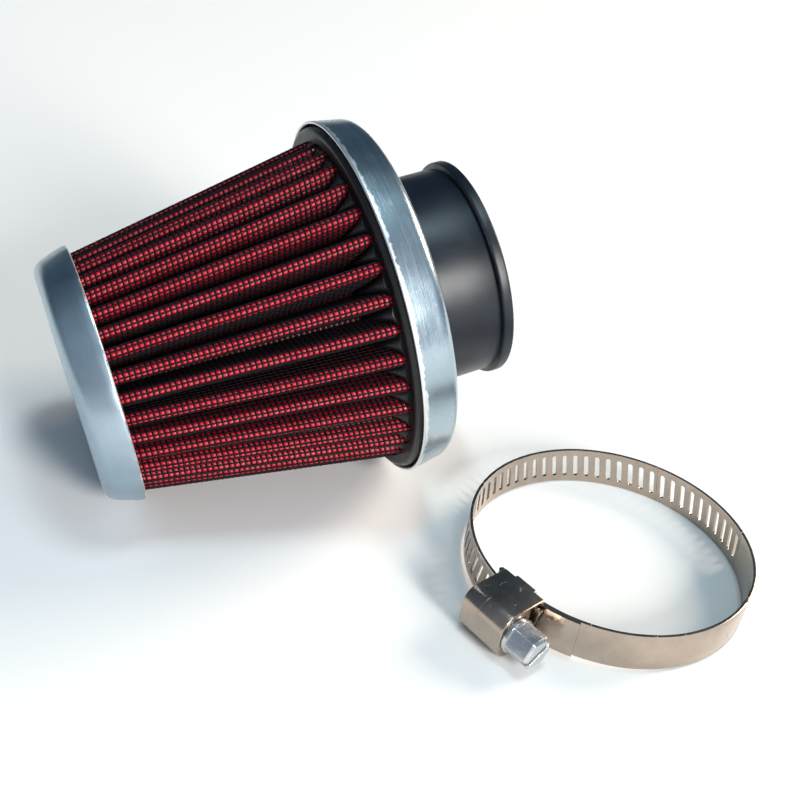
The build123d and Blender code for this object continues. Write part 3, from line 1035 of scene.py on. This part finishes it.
def rounded_copy(name, node, edge):
    """A welded copy of a CAD node with its flat faces joined up and its edges broken."""
    mesh = bpy.data.meshes.new(name)
    weld(frame["nodes"][node].data, mesh, JOIN, join_flat_faces)
    piece = bpy.data.objects.new(name, mesh)
    bpy.context.scene.collection.objects.link(piece)
    break_edges(piece, edge, 3, 35)
    return piece


class POD_OT_band(bpy.types.Operator):
    """The slotted strip in six runs."""

    bl_idname = "pod.band"
    bl_label = "Band"

    def execute(self, context):
        clamp = context.scene.pod_clamp
        steel = rolled_steel("bright_strip", context.scene.pod_finishes.steel, 0.17, True)
        bodies = ["clamp", *(f"band_{number}" for number in range(1, HINGES)), "tail"]
        nodes = [["band_fixed_end"], *([f"band_span_{number}"] for number in range(1, HINGES))]
        nodes[-1].append("band_tail")
        edges = [run_at(clamp, angle) for angle in (55.0, 105.0, degrees(clamp.slots_begin))]
        ends = np.array([run_at(clamp, angle) for angle in (205, 255, TAIL_TIP)])
        cells = np.r_[0, (ends - edges[2]) // clamp.slot_pitch].astype(int)
        strips = [
            folded_strip(clamp, 55.0),
            plain_strip(clamp, edges[0], edges[1], 1, 1),
            plain_strip(clamp, edges[1], edges[2], 1, 1),
        ]
        strips += [
            slotted_strip(clamp, edges[2] + before * clamp.slot_pitch, after - before)
            for before, after in zip(cells[:-1], cells[1:])
        ]
        for number, (points, faces, run, height) in enumerate(strips):
            hinge = FIRST_HINGE + number * (LAST_HINGE - FIRST_HINGE) / (HINGES - 1)
            start = max(hinge - 20, FOLD_END + 0.5)
            uv = np.stack([run, height], -1)
            piece = new_object(f"band_run_{number + 1}", points, faces, uv)
            thicken(piece, clamp.band, 0.07 * MM)
            piece.data.materials.append(steel)
            place = [
                band_place(clamp, run_at(clamp, angle), 4 * MM) for angle in (start, hinge + 20)
            ]
            bodies[number + 1]
            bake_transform(piece)
            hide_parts(*nodes[number])
        return {"FINISHED"}


class POD_OT_housing(bpy.types.Operator):
    """The pressed housing round the worm, and the saddle that its tail slides over."""

    bl_idname = "pod.housing"
    bl_label = "Housing"

    def execute(self, context):
        steel = rolled_steel("pressed_steel", context.scene.pod_finishes.steel, 0.20, False)
        housing = rounded_copy("pressed_housing", "clamp_housing", 0.22 * MM)
        ride(housing, "clamp", "clamp_steel", steel, "clamp_housing")
        dress("clamp_saddle", steel)
        return {"FINISHED"}


class POD_OT_screw(bpy.types.Operator):
    """The worm screw: its CAD shape with its edges broken."""

    bl_idname = "pod.screw"
    bl_label = "Screw"

    def execute(self, context):
        zinc = rolled_steel("plated_screw", context.scene.pod_finishes.zinc, 0.24, False)
        screw = rounded_copy("worm_screw", "clamp_screw", 0.10 * MM)
        ride(screw, "screw", "screw_zinc", zinc, "clamp_screw")
        return {"FINISHED"}


# ---------- stage
class POD_OT_stage(bpy.types.Operator):
    """Floor, sky, soft lights and camera.

    The view direction is the heading turned from +Y towards +X and dipped by the pitch, and
    the camera is then rolled about it.
    """

    bl_idname = "pod.stage"
    bl_label = "Stage"

    def floor(self, stage):
        side = 3.0
        corners = np.array([[-side, -side, 0], [side, -side, 0], [side, side, 0], [-side, side, 0]])
        floor = new_object("floor", corners, [[0, 1, 2, 3]])
        finish = Finish("pale_floor", stage.floor, roughness=0.75)
        speck = finish.noise(finish.place(), 60.0, 2.0)
        finish.feed(base_color=finish.mix(speck * 0.03, finish.base, (0.8, 0.8, 0.8, 1)))
        floor.data.materials.append(finish.material)

    def light(self, name, place, width, height, power, colour):
        """A rectangular soft light that faces the object."""
        lamp = bpy.data.lights.new(name, "AREA")
        lamp.shape, lamp.size, lamp.size_y = "RECTANGLE", width, height
        lamp.energy, lamp.color = power, colour
        made = bpy.data.objects.new(name, lamp)
        made.location = place
        towards = Vector((0.0, 0.0, 0.03)) - Vector(place)
        made.rotation_euler = towards.to_track_quat("-Z", "Y").to_euler()
        bpy.context.scene.collection.objects.link(made)

    def sky(self):
        """A cool world: brighter overhead and towards the front, and dim at the back."""
        world = bpy.data.worlds.new("studio")
        bpy.context.scene.world = world
        world.use_nodes = True
        nodes = Nodes(world.node_tree)
        across = nodes.parts(nodes.node("ShaderNodeTexCoord", {}, {}, "Generated"))[1]
        front, back = (0.62, 0.76, 0.92, 1), (0.10, 0.17, 0.25, 1)
        background = world.node_tree.nodes["Background"]
        nodes.plug(background.inputs["Color"], nodes.mix(across.band(-0.35, 0.75), front, back))
        nodes.plug(background.inputs["Strength"], 0.46)

    def camera(self, stage):
        heading, pitch, roll = stage.heading, stage.pitch, stage.roll
        ahead = Vector((sin(heading) * cos(pitch), cos(heading) * cos(pitch), -sin(pitch)))
        level = Vector((cos(heading), -sin(heading), 0))
        low = ahead.cross(level)
        right = cos(roll) * level + sin(roll) * low
        down = -sin(roll) * level + cos(roll) * low
        turned = Matrix((right, -down, -ahead)).transposed().to_4x4()
        lens = bpy.data.cameras.new("camera")
        lens.lens, lens.sensor_width, lens.clip_start = stage.lens, 36.0, 0.01
        made = bpy.data.objects.new("camera", lens)
        made.matrix_world = Matrix.Translation(Vector(stage.eye)) @ turned
        bpy.context.scene.collection.objects.link(made)
        bpy.context.scene.camera = made

    def execute(self, context):
        stage = context.scene.pod_stage
        self.floor(stage)
        self.sky()
        context.scene.view_settings.view_transform = "Standard"
        self.light("window", (0.34, -1.56, 0.72), 0.42, 0.66, 34.0, (1.0, 0.97, 0.93))
        self.light("overhead", (0.10, -0.10, 1.55), 0.38, 0.28, 6.6, (0.72, 0.95, 1.0))
        self.light("side", (1.70, 0.20, 0.98), 0.80, 0.80, 34.0, (1.0, 0.84, 0.68))
        self.camera(stage)
        return {"FINISHED"}


# ---------- panel and running
class POD_PT_panel(bpy.types.Panel):
    """Lists the sizes, the finishes and one button for each piece."""

    bl_label = "Pod Air Filter"
    bl_idname = "POD_PT_panel"
    bl_space_type = "VIEW_3D"
    bl_region_type = "UI"
    bl_category = "Pod Filter"

    def draw(self, context):
        scene = context.scene
        for group in (scene.pod_filter, scene.pod_clamp, scene.pod_finishes, scene.pod_stage):
            box = self.layout.box()
            for name in group.__annotations__:
                box.prop(group, name)
        for operator in OPERATORS:
            self.layout.operator(operator.bl_idname)


GROUPS = {
    "pod_filter": PodFilterSizes,
    "pod_clamp": PodClampSizes,
    "pod_finishes": PodFinishes,
    "pod_stage": PodStage,
}
OPERATORS = (
    POD_OT_stage,
    POD_OT_gauze,
    POD_OT_mesh,
    POD_OT_cap,
    POD_OT_ring,
    POD_OT_potting,
    POD_OT_neck,
    POD_OT_band,
    POD_OT_housing,
    POD_OT_screw,
)


def register():
    for group in (*GROUPS.values(), *OPERATORS, POD_PT_panel):
        bpy.utils.register_class(group)
    for name, group in GROUPS.items():
        setattr(bpy.types.Scene, name, bpy.props.PointerProperty(type=group))


def unregister():
    for name in GROUPS:
        delattr(bpy.types.Scene, name)
    for group in (POD_PT_panel, *reversed(OPERATORS), *reversed(GROUPS.values())):
        bpy.utils.unregister_class(group)


def main():
    """Register the classes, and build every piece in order."""
    register()
    for operator in OPERATORS:
        group, name = operator.bl_idname.split(".")
        getattr(getattr(bpy.ops, group), name)()


if __name__ == "__main__":
    main()
